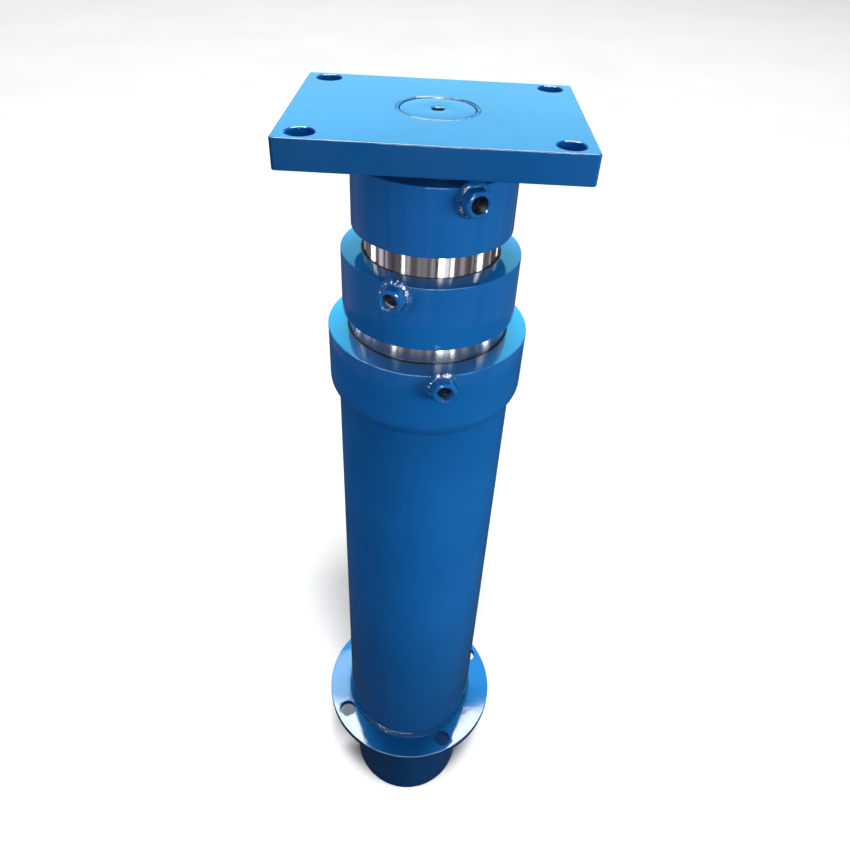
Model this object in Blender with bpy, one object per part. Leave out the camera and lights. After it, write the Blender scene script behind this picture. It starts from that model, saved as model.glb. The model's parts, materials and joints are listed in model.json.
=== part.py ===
"""Telescopic hydraulic cylinder: a flanged barrel, two hollow stages, and a plunger under a top plate.

Everything is turned about the Z axis and stands on z = 0, the flat face of the base cap.
Radii and heights below are in millimetres. Each outer member (barrel, stage 1, stage 2) has a tube
with a head on its top end, and the head holds the wiper, seal and guide bush of the member inside it.
Each inner member (stage 1, stage 2, plunger) has a piston at its foot with two guide rings and a seal.
"""
from math import cos, floor, pi, radians, sin, sqrt, tan

import bmesh
import bpy
from mathutils import Matrix, Vector

MM = 0.001

# clearances
FIT = 0.3            # between pieces that are fixed together
RUN = 0.6            # between pieces that slide in each other

# facets
TUBE_SIDES = 40
RING_SIDES = 20
WIPER_SIDES = 32
HOLE_SIDES = 16
BOSS_SIDES = 18

# overall heights
TOTAL_HEIGHT = 1090.0
PLATE_THICKNESS = 25.0
PLATE_GAP = 15.0

# top plate
PLATE_WIDTH = 250.0
PLATE_DEPTH = 198.0
PLATE_CORNER_R = 3.0
PLATE_EDGE = 1.2
PLATE_HOLE_R = 11.75
PLATE_HOLE_X = 104.0
PLATE_HOLE_Y = 82.0
HOLE_EDGE = 1.0

# plunger, the innermost member
PLUNGER_R = 50.0
PLUNGER_BORE_R = 38.0
PLUNGER_HEAD = 45.0
SPIGOT_R = 33.2
SPIGOT_EDGE = 0.8
GROOVE_R = 37.2
GROOVE_DEPTH = 4.0
GROOVE_WELD_TOP = 1.2
GROOVE_WELD_FOOT = 2.8
LIFT_HOLE_R = 5.5
LIFT_HOLE_DEPTH = 24.0
PLATE_WELD_LEG = 6.0

# tubes, outer and bore radius
STAGE_2_R = 65.0
STAGE_2_BORE_R = 57.5
STAGE_1_R = 80.0
STAGE_1_BORE_R = 72.5
BARREL_R = 93.0
BARREL_BORE_R = 86.0

# heads, outer radius, top and bottom
STAGE_2_HEAD = (76.5, TOTAL_HEIGHT - PLATE_THICKNESS - PLATE_GAP, 988.0)
STAGE_1_HEAD = (87.0, 964.5, 901.0)
BARREL_HEAD = (102.0, 882.5, 804.0)
BARREL_HEAD_TAPER = 14.0
HEAD_EDGE = 1.2
THREAD_END = 42.0        # depth of the shoulder that the tube screws up to

# inside a head, depths below its top face
LIP_DEPTH = 2.5
LIP_GAP = 2.0
WIPER_DEPTH = 6.5
WIPER_SECTION = 5.5
SEAL_TOP = 18.0
SEAL_HEIGHT = 8.0
BUSH_HEIGHT = 12.0
GLAND_SECTION = 5.5
PORT_DEPTH = 11.0
PORT_PASSAGE_R = 3.0

# stop rings under the heads, and pistons
STOP_RING_HEIGHT = 50.0
STOP_RING_WALL = 3.6
PISTON_HEIGHT = 50.0
PISTON_LAND = 5.0
GUIDE_HEIGHT = 12.0
PISTON_SEAL_HEIGHT = 6.0
GROOVE_CUT = 2.6
FOOT_RING_HEIGHT = 14.0
FOOT_RING_WALL = 9.0

# flange and foot
FLANGE_R = 128.0
FLANGE_THICKNESS = 10.0
FLANGE_TOP = 200.0
FLANGE_EDGE = 0.8
FLANGE_HOLE_CIRCLE_R = 109.5
FLANGE_HOLE_R = 11.5
FLANGE_HOLE_ANGLE = 29.6
FLANGE_WELD_WIDTH = 3.3
FLANGE_WELD_HEIGHT = 7.0
FOOT_R = 85.6
FOOT_BORE_R = 68.0
FOOT_TOP = 232.0
FOOT_EDGE = 6.0
FOOT_WELD_WIDTH = 6.5
FOOT_WELD_HEIGHT = 5.0
CAP_THICKNESS = 32.0
CAP_GROOVE = 5.0         # chamfer round the cap that its weld fills
BASE_PORT_R = 12.0

# hexagonal port bosses
HEX_ACROSS_FLATS = 23.0
BOSS_HEIGHT = 14.0
BOSS_FACE_R = 10.2
BOSS_THREAD_R = 7.5
BOSS_THREAD_DEPTH = 10.5
BOSS_MOUTH = 0.8
PORT_WELD_LEG = 4.2
BARREL_PORT_ANGLE = -80.0
STAGE_1_PORT_ANGLE = -109.5
STAGE_2_PORT_ANGLE = -64.7

# colour, roughness, metallic
ENAMEL = ((0.02, 0.17, 0.42, 1.0), 0.22, 0.0)
CHROME = ((0.62, 0.60, 0.60, 1.0), 0.12, 1.0)
STEEL = ((0.42, 0.42, 0.43, 1.0), 0.35, 1.0)
BRONZE = ((0.60, 0.42, 0.20, 1.0), 0.35, 1.0)
RUBBER = ((0.02, 0.02, 0.022, 1.0), 0.55, 0.0)
GUIDE_RESIN = ((0.23, 0.16, 0.10, 1.0), 0.6, 0.0)


def clear_scene():
    for old in list(bpy.data.objects):
        bpy.data.objects.remove(old)


def own_material(name, look):
    colour, roughness, metallic = look
    made = bpy.data.materials.new(name + "_finish")
    made.use_nodes = True
    shader = made.node_tree.nodes["Principled BSDF"]
    shader.inputs["Base Color"].default_value = colour
    shader.inputs["Roughness"].default_value = roughness
    shader.inputs["Metallic"].default_value = metallic
    return made


def add_object(name, work, look):
    """Turn a closed bmesh in millimetres into a named object in metres."""
    bmesh.ops.scale(work, vec=(MM, MM, MM), verts=work.verts)
    bmesh.ops.recalc_face_normals(work, faces=work.faces)
    mesh = bpy.data.meshes.new(name)
    work.to_mesh(mesh)
    work.free()
    mesh.shade_smooth()
    mesh.set_sharp_from_angle(angle=radians(35.0))
    made = bpy.data.objects.new(name, mesh)
    bpy.context.collection.objects.link(made)
    if look:
        mesh.materials.append(own_material(name, look))
    return made


def bored(outline, sides):
    """Radii of an inner wall, moved out so that its flats, not its corners, are at the stated radius."""
    return [(r / cos(pi / sides), z) for r, z in outline]


def skin_loops(work, loops, closed):
    """Join neighbouring loops of points with faces; a loop of one point is a pole."""
    rows = [[work.verts.new(p) for p in loop] for loop in loops]
    pairs = list(zip(rows, rows[1:]))
    if closed:
        pairs.append((rows[-1], rows[0]))
    for first, second in pairs:
        count = max(len(first), len(second))
        for i in range(count):
            corners = [first[i % len(first)], first[(i + 1) % len(first)],
                       second[(i + 1) % len(second)], second[i % len(second)]]
            work.faces.new(list(dict.fromkeys(corners)))


def turned(name, outline, look, sides=TUBE_SIDES):
    """Revolve (radius, height) points about Z. An outline that starts and ends on the axis is a solid."""
    loops = []
    for r, z in outline:
        if r == 0.0:
            loops.append([(0.0, 0.0, z)])
        else:
            turns = [2.0 * pi * i / sides for i in range(sides)]
            loops.append([(r * cos(a), r * sin(a), z) for a in turns])
    work = bmesh.new()
    skin_loops(work, loops, closed=outline[0][0] != 0.0)
    return add_object(name, work, look)


def ring(name, outer_r, inner_r, top, bottom, look, sides=RING_SIDES):
    outline = [(outer_r, top), (outer_r, bottom)]
    outline += bored([(inner_r, bottom), (inner_r, top)], sides)
    return turned(name, outline, look, sides)


def cut_away(body, cutter):
    """Subtract a hidden cutter with a Boolean modifier."""
    cutter.hide_render = True
    cutter.display_type = "WIRE"
    cut = body.modifiers.new(cutter.name, "BOOLEAN")
    cut.operation = "DIFFERENCE"
    cut.object = cutter


def round_cutter(name, outline, x, y, sides=HOLE_SIDES):
    made = turned(name, [(0.0, outline[0][1])] + bored(outline, sides) + [(0.0, outline[-1][1])], None, sides)
    made.location = (x * MM, y * MM, 0.0)
    return made


# ---- port bosses ---------------------------------------------------------------------------------

def hexagon_r(angle):
    """Distance from the centre of a hexagon, flat side up, to its side in this direction."""
    sector = angle - (pi / 3.0) * floor(angle / (pi / 3.0))
    return 0.5 * HEX_ACROSS_FLATS / cos(sector - pi / 6.0)


def around_boss(seat_r, radius_at, height_at, on_seat):
    """Loop around a radial boss axis (+X before it is turned); heights start at the seat cylinder."""
    loop = []
    for i in range(BOSS_SIDES):
        angle = 2.0 * pi * i / BOSS_SIDES
        r = radius_at(angle)
        across = r * cos(angle)
        seat = sqrt(seat_r ** 2 - across ** 2) if on_seat else seat_r
        loop.append((seat + height_at(angle), across, r * sin(angle)))
    return loop


def place_on_head(work, degrees, height):
    turn = Matrix.Rotation(radians(degrees), 4, "Z")
    shift = Matrix.Translation(Vector((0.0, 0.0, height)))
    bmesh.ops.transform(work, matrix=shift @ turn, verts=work.verts)


def port_boss(name, head_r, degrees, height):
    """Hexagonal screwed boss with a chamfered mouth, saddled onto the head and drilled through."""
    seat = head_r + FIT
    wall = cos(pi / BOSS_SIDES)
    thread_r = BOSS_THREAD_R / wall
    passage_r = PORT_PASSAGE_R / wall
    bottom = BOSS_HEIGHT - BOSS_THREAD_DEPTH

    def shoulder(angle):
        return BOSS_HEIGHT - (hexagon_r(angle) - BOSS_FACE_R) * tan(radians(30.0))

    loops = [
        around_boss(seat, hexagon_r, lambda a: 0.0, True),
        around_boss(seat, hexagon_r, shoulder, False),
        around_boss(seat, lambda a: BOSS_FACE_R, lambda a: BOSS_HEIGHT, False),
        around_boss(seat, lambda a: thread_r + BOSS_MOUTH, lambda a: BOSS_HEIGHT, False),
        around_boss(seat, lambda a: thread_r, lambda a: BOSS_HEIGHT - BOSS_MOUTH, False),
        around_boss(seat, lambda a: thread_r, lambda a: bottom, False),
        around_boss(seat, lambda a: passage_r, lambda a: bottom, False),
        around_boss(seat, lambda a: passage_r, lambda a: 0.0, True),
    ]
    work = bmesh.new()
    skin_loops(work, loops, closed=True)
    place_on_head(work, degrees, height)
    return add_object(name, work, ENAMEL)


def port_weld(name, head_r, degrees, height):
    """Fillet of weld metal between a port boss and its head."""
    seat = head_r + FIT
    leg = PORT_WELD_LEG
    toe = 0.5

    def inner(angle):
        return hexagon_r(angle) + FIT

    def outer(angle):
        return 0.5 * (hexagon_r(angle) + 0.5 * HEX_ACROSS_FLATS) + leg + 1.0

    def middle(angle):
        return inner(angle) + 0.55 * leg

    loops = [
        around_boss(seat, inner, lambda a: 0.0, True),
        around_boss(seat, inner, lambda a: leg, True),
        around_boss(seat, middle, lambda a: 0.62 * leg, True),
        around_boss(seat, outer, lambda a: toe, True),
        around_boss(seat, outer, lambda a: 0.0, True),
    ]
    work = bmesh.new()
    skin_loops(work, loops, closed=True)
    place_on_head(work, degrees, height)
    return add_object(name, work, ENAMEL)


def port_passage(head, name, head_r, degrees, height):
    """Drill the radial oil passage from the head's bore out to the boss."""
    work = bmesh.new()
    reach = head_r + 5.0
    loops = [[(0.55 * head_r, 0.0, 0.0)]]
    for x in (0.55 * head_r, reach):
        angles = [2.0 * pi * i / BOSS_SIDES for i in range(BOSS_SIDES)]
        r = PORT_PASSAGE_R / cos(pi / BOSS_SIDES)
        loops.append([(x, r * cos(a), r * sin(a)) for a in angles])
    loops.append([(reach, 0.0, 0.0)])
    skin_loops(work, loops, closed=False)
    place_on_head(work, degrees, height)
    cut_away(head, add_object(name, work, None))


# ---- outer members: tube, head and what the head holds -------------------------------------------

def head_outline(head_r, top, bottom, tube_r, rod_r, taper):
    """Outer wall down, then the socket and the gland bore up."""
    outer = [(head_r - HEAD_EDGE, top), (head_r, top - HEAD_EDGE)]
    if taper:
        outer += [(head_r, bottom + taper), (tube_r + FLANGE_EDGE, bottom)]
    else:
        outer += [(head_r, bottom + HEAD_EDGE), (head_r - HEAD_EDGE, bottom)]
    gland_r = rod_r + GLAND_SECTION
    seal_end = top - SEAL_TOP - SEAL_HEIGHT - BUSH_HEIGHT
    inner = [
        (tube_r + FIT, bottom),
        (tube_r + FIT, top - THREAD_END),
        (rod_r + RUN, top - THREAD_END),
        (rod_r + RUN, seal_end),
        (gland_r, seal_end),
        (gland_r, top - SEAL_TOP),
        (rod_r + RUN, top - SEAL_TOP),
        (rod_r + RUN, top - WIPER_DEPTH),
        (rod_r + WIPER_SECTION, top - WIPER_DEPTH),
        (rod_r + WIPER_SECTION, top - LIP_DEPTH),
        (rod_r + LIP_GAP, top - LIP_DEPTH),
        (rod_r + LIP_GAP, top),
    ]
    return outer + bored(inner, TUBE_SIDES)


def wiper_ring(name, rod_r, top):
    """Wiper with a lip that fills the mouth of the gland."""
    body_r = rod_r + WIPER_SECTION - FIT
    lip_r = rod_r + LIP_GAP - FIT
    groove_top = top - LIP_DEPTH - FIT
    groove_bottom = top - WIPER_DEPTH + FIT
    outline = [(lip_r, top - 0.6), (lip_r, groove_top), (body_r, groove_top), (body_r, groove_bottom)]
    outline += bored([(rod_r + 0.5 * RUN, groove_bottom), (rod_r + 0.5 * RUN, top - 0.6)], WIPER_SIDES)
    return turned(name, outline, RUBBER, WIPER_SIDES)


def gland_rings(member, rod_r, top):
    """Rod seal and guide bush, stacked in one groove of the head."""
    outer_r = rod_r + GLAND_SECTION - FIT
    seal_bottom = top - SEAL_TOP - SEAL_HEIGHT
    ring(member + "_rod_seal", outer_r, rod_r + 0.5 * RUN, top - SEAL_TOP - FIT, seal_bottom + FIT, RUBBER)
    bush_bottom = seal_bottom - BUSH_HEIGHT
    ring(member + "_guide_bush", outer_r, rod_r + 0.5 * RUN, seal_bottom, bush_bottom + FIT, BRONZE)


def outer_member(member, head, tube, rod_r, degrees, tube_bottom, look, taper=0.0):
    """Tube with its head, gland rings, stop ring and port."""
    head_r, top, bottom = head
    tube_r, bore_r = tube
    shoulder = top - THREAD_END
    ring(member + "_tube", tube_r, bore_r, shoulder - FIT, tube_bottom, look, TUBE_SIDES)
    outline = head_outline(head_r, top, bottom, tube_r, rod_r, taper)
    head_object = turned(member + "_head", outline, ENAMEL)
    port_height = top - PORT_DEPTH
    port_passage(head_object, member + "_port_cutter", head_r, degrees, port_height)
    port_boss(member + "_port", head_r, degrees, port_height)
    port_weld(member + "_port_weld", head_r, degrees, port_height)
    wiper_ring(member + "_wiper", rod_r, top)
    gland_rings(member, rod_r, top)
    stop_top = shoulder - FIT
    ring(member + "_stop_ring", bore_r - FIT, bore_r - FIT - STOP_RING_WALL, stop_top,
         stop_top - STOP_RING_HEIGHT, STEEL)


# ---- inner members: piston with guide rings, seal and foot ring ----------------------------------

def piston(member, tube_r, outer_bore_r, bottom):
    """Piston ring on the foot of a tube, with grooves for two guide rings round one seal."""
    outer_r = outer_bore_r - RUN
    floor_r = outer_r - GROOVE_CUT
    top = bottom + PISTON_HEIGHT
    outline = [(outer_r, top)]
    height = top
    for part, tall in (("upper_guide", GUIDE_HEIGHT), ("piston_seal", PISTON_SEAL_HEIGHT),
                       ("lower_guide", GUIDE_HEIGHT)):
        groove_top = height - PISTON_LAND
        groove_bottom = groove_top - tall
        outline += [(outer_r, groove_top), (floor_r, groove_top), (floor_r, groove_bottom),
                    (outer_r, groove_bottom)]
        look = RUBBER if part == "piston_seal" else GUIDE_RESIN
        ring(member + "_" + part, outer_bore_r - 0.5 * RUN, floor_r + FIT, groove_top - FIT,
             groove_bottom + FIT, look)
        height = groove_bottom
    outline.append((outer_r, bottom))
    outline += bored([(tube_r + FIT, bottom), (tube_r + FIT, top)], RING_SIDES)
    turned(member + "_piston", outline, STEEL, RING_SIDES)


def foot_ring(member, bore_r, bottom):
    """Ring screwed into the foot of a hollow stage, which the next stage rests on."""
    ring(member + "_foot_ring", bore_r - FIT, bore_r - FOOT_RING_WALL, bottom + FOOT_RING_HEIGHT, bottom, STEEL)


# ---- plunger, top plate, flange and base ---------------------------------------------------------

def plunger(bottom):
    """Innermost member: a bored bar whose spigot goes up through the top plate."""
    top = TOTAL_HEIGHT - FIT
    shoulder = TOTAL_HEIGHT - PLATE_THICKNESS - FIT
    bore_top = shoulder - PLUNGER_HEAD
    hole_r = LIFT_HOLE_R / cos(pi / TUBE_SIDES)
    outline = [
        (0.0, top - LIFT_HOLE_DEPTH),
        (hole_r, top - LIFT_HOLE_DEPTH),
        (hole_r, top - HOLE_EDGE),
        (hole_r + HOLE_EDGE, top),
        (SPIGOT_R - SPIGOT_EDGE, top),
        (SPIGOT_R, top - SPIGOT_EDGE),
        (SPIGOT_R, shoulder),
        (PLUNGER_R, shoulder),
        (PLUNGER_R, bottom),
        (PLUNGER_BORE_R, bottom),
        (PLUNGER_BORE_R, bore_top),
        (0.0, bore_top),
    ]
    turned("plunger", outline, CHROME)


def rounded_rectangle(width, depth, corner_r, height, steps=3):
    """Loop of points round a rectangle with rounded corners."""
    loop = []
    for quarter in range(4):
        start = quarter * pi / 2.0
        cx = (0.5 * width - corner_r) * (1 if quarter in (0, 3) else -1)
        cy = (0.5 * depth - corner_r) * (1 if quarter in (0, 1) else -1)
        for i in range(steps + 1):
            angle = start + (pi / 2.0) * i / steps
            loop.append((cx + corner_r * cos(angle), cy + corner_r * sin(angle), height))
    return loop


def top_plate():
    """Rectangular plate with chamfered edges, four corner holes and a grooved hole for the spigot."""
    top = TOTAL_HEIGHT
    bottom = TOTAL_HEIGHT - PLATE_THICKNESS
    levels = ((bottom, PLATE_EDGE), (bottom + PLATE_EDGE, 0.0), (top - PLATE_EDGE, 0.0), (top, PLATE_EDGE))
    loops = [[(0.0, 0.0, bottom)]]
    for height, inset in levels:
        loops.append(rounded_rectangle(PLATE_WIDTH - 2.0 * inset, PLATE_DEPTH - 2.0 * inset,
                                       PLATE_CORNER_R, height))
    loops.append([(0.0, 0.0, top)])
    work = bmesh.new()
    skin_loops(work, loops, closed=False)
    plate = add_object("top_plate", work, ENAMEL)
    rim = PLATE_HOLE_R + HOLE_EDGE
    hole = [(rim + 5.0, top + 5.0), (rim, top), (PLATE_HOLE_R, top - HOLE_EDGE), (PLATE_HOLE_R, bottom - 5.0)]
    for sx in (-1, 1):
        for sy in (-1, 1):
            name = "plate_hole_%s%s" % ("left" if sx < 0 else "right", "_front" if sy < 0 else "_rear")
            cut_away(plate, round_cutter(name, hole, sx * PLATE_HOLE_X, sy * PLATE_HOLE_Y))
    bore_r = SPIGOT_R + FIT
    centre = [(GROOVE_R, top + 5.0), (GROOVE_R, top), (bore_r, top - GROOVE_DEPTH), (bore_r, bottom - 5.0)]
    cut_away(plate, round_cutter("plate_bore", centre, 0.0, 0.0, TUBE_SIDES))


def plate_welds():
    """Groove weld round the spigot on top, and fillet weld round the plunger underneath."""
    top = TOTAL_HEIGHT - GROOVE_WELD_TOP
    low = TOTAL_HEIGHT - GROOVE_WELD_FOOT
    slope = (GROOVE_R - SPIGOT_R - FIT) / GROOVE_DEPTH
    inner_r = SPIGOT_R + FIT
    outline = [
        (GROOVE_R - slope * GROOVE_WELD_TOP - 1.5 * FIT, top),
        (GROOVE_R - slope * GROOVE_WELD_FOOT - 1.5 * FIT, low),
    ]
    outline += bored([(inner_r, low), (inner_r, top)], TUBE_SIDES)
    turned("plate_groove_weld", outline, ENAMEL)
    under = TOTAL_HEIGHT - PLATE_THICKNESS - 2.0 * FIT
    inner_r = PLUNGER_R + FIT
    outline = [(inner_r + PLATE_WELD_LEG, under), (inner_r + 0.5, under - PLATE_WELD_LEG)]
    outline += bored([(inner_r, under - PLATE_WELD_LEG), (inner_r, under)], TUBE_SIDES)
    turned("plate_fillet_weld", outline, ENAMEL)


def mounting_flange():
    top = FLANGE_TOP
    bottom = FLANGE_TOP - FLANGE_THICKNESS
    outline = [(FLANGE_R - FLANGE_EDGE, top), (FLANGE_R, top - FLANGE_EDGE), (FLANGE_R, bottom + FLANGE_EDGE),
               (FLANGE_R - FLANGE_EDGE, bottom)]
    outline += bored([(BARREL_R + FIT, bottom), (BARREL_R + FIT, top)], TUBE_SIDES)
    flange = turned("mounting_flange", outline, ENAMEL)
    for i in range(4):
        angle = radians(FLANGE_HOLE_ANGLE + 90.0 * i)
        hole = [(FLANGE_HOLE_R, top + 5.0), (FLANGE_HOLE_R, bottom - 5.0)]
        cut_away(flange, round_cutter("flange_hole_%d" % i, hole, FLANGE_HOLE_CIRCLE_R * cos(angle),
                                      FLANGE_HOLE_CIRCLE_R * sin(angle)))


def fillet(name, inner_r, width, height, base):
    """Fillet weld round a tube, up from a plate, or down from one where the height is negative."""
    outline = [
        (inner_r + 0.5, base + height),
        (inner_r + 0.55 * width, base + 0.55 * height),
        (inner_r + width, base),
    ]
    outline += bored([(inner_r, base), (inner_r, base + height)], TUBE_SIDES)
    turned(name, outline, ENAMEL)


def flange_welds():
    fillet("flange_weld", BARREL_R + FIT, FLANGE_WELD_WIDTH, FLANGE_WELD_HEIGHT, FLANGE_TOP + FIT)
    under = FLANGE_TOP - FLANGE_THICKNESS - FIT
    fillet("foot_weld", FOOT_R + FIT, FOOT_WELD_WIDTH, -FOOT_WELD_HEIGHT, under)


def foot_tube():
    """Thick tube plugged and welded into the barrel's lower end."""
    outline = [
        (FOOT_R, FOOT_TOP),
        (FOOT_R, FOOT_EDGE),
        (FOOT_R - 0.3 * FOOT_EDGE, 0.3 * FOOT_EDGE),
        (FOOT_R - FOOT_EDGE, 0.0),
    ]
    outline += bored([(FOOT_BORE_R, 0.0), (FOOT_BORE_R, FOOT_TOP)], TUBE_SIDES)
    turned("foot_tube", outline, ENAMEL)


def base_cap():
    """Thick disc that closes the foot tube, with the feed port in it and its weld round it."""
    cap_r = FOOT_BORE_R - FIT
    outline = [(cap_r, CAP_THICKNESS), (cap_r, CAP_GROOVE), (cap_r - CAP_GROOVE, 0.0)]
    port = [(BASE_PORT_R + HOLE_EDGE, 0.0), (BASE_PORT_R, HOLE_EDGE), (BASE_PORT_R, CAP_THICKNESS)]
    turned("base_cap", outline + bored(port, TUBE_SIDES), ENAMEL)
    low = FIT
    high = CAP_GROOVE - 3.0 * FIT
    outline = [(cap_r, high), (cap_r, low)]
    outline += bored([(cap_r - CAP_GROOVE + low + 2.0 * FIT, low), (cap_r - CAP_GROOVE + high + 2.0 * FIT, high)],
                     TUBE_SIDES)
    turned("base_cap_weld", outline, ENAMEL)


def build():
    clear_scene()
    stage_1_bottom = FOOT_TOP + FIT
    stage_2_bottom = stage_1_bottom + FOOT_RING_HEIGHT + FIT
    plunger_bottom = stage_2_bottom + FOOT_RING_HEIGHT + FIT
    barrel_bottom = FLANGE_TOP - FLANGE_THICKNESS
    outer_member("barrel", BARREL_HEAD, (BARREL_R, BARREL_BORE_R), STAGE_1_R, BARREL_PORT_ANGLE,
                 barrel_bottom, ENAMEL, BARREL_HEAD_TAPER)
    outer_member("stage_1", STAGE_1_HEAD, (STAGE_1_R, STAGE_1_BORE_R), STAGE_2_R, STAGE_1_PORT_ANGLE,
                 stage_1_bottom, CHROME)
    outer_member("stage_2", STAGE_2_HEAD, (STAGE_2_R, STAGE_2_BORE_R), PLUNGER_R, STAGE_2_PORT_ANGLE,
                 stage_2_bottom, CHROME)
    piston("stage_1", STAGE_1_R, BARREL_BORE_R, stage_1_bottom)
    piston("stage_2", STAGE_2_R, STAGE_1_BORE_R, stage_2_bottom)
    piston("plunger", PLUNGER_R, STAGE_2_BORE_R, plunger_bottom)
    foot_ring("stage_1", STAGE_1_BORE_R, stage_1_bottom)
    foot_ring("stage_2", STAGE_2_BORE_R, stage_2_bottom)
    plunger(plunger_bottom)
    top_plate()
    plate_welds()
    mounting_flange()
    flange_welds()
    foot_tube()
    base_cap()


build()
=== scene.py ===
"""Looks of the telescopic hydraulic cylinder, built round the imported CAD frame.

Lengths of the part are in millimetres, as in the part's own source, until finish_mesh() turns them into
metres. Places and sizes of the camera, the lamps and the dark room are in metres. Every turned or welded
piece that shows is made again here with fine facets, rounded edges, rippled weld beads and cut threads.
The pieces inside the tubes keep their CAD meshes.
"""

import json
from math import cos, floor, pi, radians, sin, sqrt, tan

import bpy
from mathutils import Matrix, Vector, noise

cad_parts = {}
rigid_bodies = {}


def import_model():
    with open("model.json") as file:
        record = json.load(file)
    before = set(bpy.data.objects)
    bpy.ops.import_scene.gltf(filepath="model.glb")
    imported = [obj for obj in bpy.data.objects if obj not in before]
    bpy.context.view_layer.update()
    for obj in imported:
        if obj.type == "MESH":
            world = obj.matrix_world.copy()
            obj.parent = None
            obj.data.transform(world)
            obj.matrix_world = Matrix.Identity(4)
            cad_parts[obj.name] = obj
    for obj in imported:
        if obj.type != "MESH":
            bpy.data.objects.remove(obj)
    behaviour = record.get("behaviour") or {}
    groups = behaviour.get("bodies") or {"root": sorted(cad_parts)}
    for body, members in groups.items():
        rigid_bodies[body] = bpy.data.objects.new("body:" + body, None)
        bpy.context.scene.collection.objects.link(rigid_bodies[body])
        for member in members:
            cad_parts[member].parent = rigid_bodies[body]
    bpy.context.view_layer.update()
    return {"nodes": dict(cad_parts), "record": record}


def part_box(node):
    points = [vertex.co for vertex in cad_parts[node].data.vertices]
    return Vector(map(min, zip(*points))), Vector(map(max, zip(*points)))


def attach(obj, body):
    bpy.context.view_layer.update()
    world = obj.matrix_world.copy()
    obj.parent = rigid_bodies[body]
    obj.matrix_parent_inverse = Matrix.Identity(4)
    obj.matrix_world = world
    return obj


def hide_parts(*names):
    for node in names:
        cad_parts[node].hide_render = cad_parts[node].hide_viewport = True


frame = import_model()

MM = 0.001
FINE = 160              # facets round a large turned piece
SMALL = 48              # facets round a hole
FIT = 0.3               # gap between pieces that are fixed together
SHARP_ANGLE = 32.0      # edges sharper than this are not smoothed over


# ---- camera, lights and floor --------------------------------------------------------------------

CAMERA_AT = (0.0042, -0.6374, 1.2616)
CAMERA_PITCH = 39.2
CAMERA_ROLL = 3.0
CAMERA_YAW = -0.1
CAMERA_LENS = 30.0
CAMERA_SENSOR = 36.0
CAMERA_NEAR = 0.01
CAMERA_FAR = 50.0


def add_camera():
    """Camera in front, above the heads, looking down and rolled a little."""
    data = bpy.data.cameras.new("camera")
    data.lens = CAMERA_LENS
    data.sensor_width = CAMERA_SENSOR
    data.clip_start = CAMERA_NEAR
    data.clip_end = CAMERA_FAR
    made = bpy.data.objects.new("camera", data)
    bpy.context.scene.collection.objects.link(made)
    pitch, yaw, roll = radians(CAMERA_PITCH), radians(CAMERA_YAW), radians(CAMERA_ROLL)
    forward = Vector((sin(yaw) * cos(pitch), cos(yaw) * cos(pitch), -sin(pitch)))
    level = Vector((cos(yaw), -sin(yaw), 0.0))
    upright = level.cross(forward)
    right = cos(roll) * level + sin(roll) * upright
    up = -sin(roll) * level + cos(roll) * upright
    made.matrix_world = Matrix((
        (right.x, up.x, -forward.x, CAMERA_AT[0]),
        (right.y, up.y, -forward.y, CAMERA_AT[1]),
        (right.z, up.z, -forward.z, CAMERA_AT[2]),
        (0.0, 0.0, 0.0, 1.0),
    ))
    bpy.context.scene.camera = made


def add_panel(name, at, aim, width, height, radiance, colour):
    """Soft rectangular light at a point, facing another, as bright as radiance says."""
    data = bpy.data.lights.new(name, "AREA")
    data.shape = "RECTANGLE"
    data.size = width
    data.size_y = height
    data.energy = radiance * pi * width * height
    data.color = colour
    made = bpy.data.objects.new(name, data)
    bpy.context.scene.collection.objects.link(made)
    made.location = at
    made.rotation_euler = (Vector(aim) - Vector(at)).to_track_quat("-Z", "Y").to_euler()
    made.visible_camera = False
    return made


def around(degrees, distance, height):
    """Point around the cylinder's axis; 0 degrees is in front and 90 at the right."""
    return (distance * sin(radians(degrees)), -distance * cos(radians(degrees)), height)


STRIPS = (              # direction in degrees, width, radiance, colour
    (-141.0, 0.05, 1.2, (0.80, 0.86, 1.0)),
    (-105.0, 0.14, 5.0, (1.0, 1.0, 0.90)),
    (-85.0, 0.15, 0.75, (0.92, 0.82, 1.0)),
    (-73.0, 0.03, 0.9, (0.92, 0.86, 1.0)),
    (-42.0, 0.07, 3.2, (1.0, 1.0, 1.0)),
    (-34.0, 0.09, 0.45, (0.92, 0.97, 1.0)),
    (-12.0, 0.22, 0.16, (0.94, 0.97, 0.95)),
    (5.0, 0.10, 0.30, (1.0, 0.98, 0.98)),
    (18.0, 0.13, 6.0, (1.0, 1.0, 0.98)),
    (26.5, 0.12, 1.1, (0.95, 0.98, 1.0)),
    (35.0, 0.07, 4.0, (0.94, 1.0, 0.97)),
    (52.0, 0.12, 0.28, (0.96, 0.97, 1.0)),
    (70.0, 0.04, 0.4, (0.95, 1.0, 0.95)),
    (86.0, 0.13, 8.0, (1.0, 1.0, 0.98)),
    (112.0, 0.08, 0.45, (1.0, 0.98, 0.98)),
    (140.0, 0.08, 2.5, (1.0, 1.0, 0.98)),
)
STRIP_DISTANCE = 0.9
STRIP_LOW = 0.02
STRIP_TALL = 1.6
WALL_R = 1.5            # round dark wall behind what the gloss reflects
WALL_TOP = 1.12
WALL_HALF_TURN = 150    # degrees to either side of the front
WALL_STEP = 6
WALL_TONES = ((0.055, 0.050, 0.062, 1.0), (0.19, 0.17, 0.20, 1.0))
DARK_GROUND_HALF = 8.0
DARK_GROUND_HEIGHT = -0.0004
DARK_GROUND_TONES = ((0.06, 0.055, 0.065, 1.0), (0.11, 0.10, 0.11, 1.0))


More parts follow.
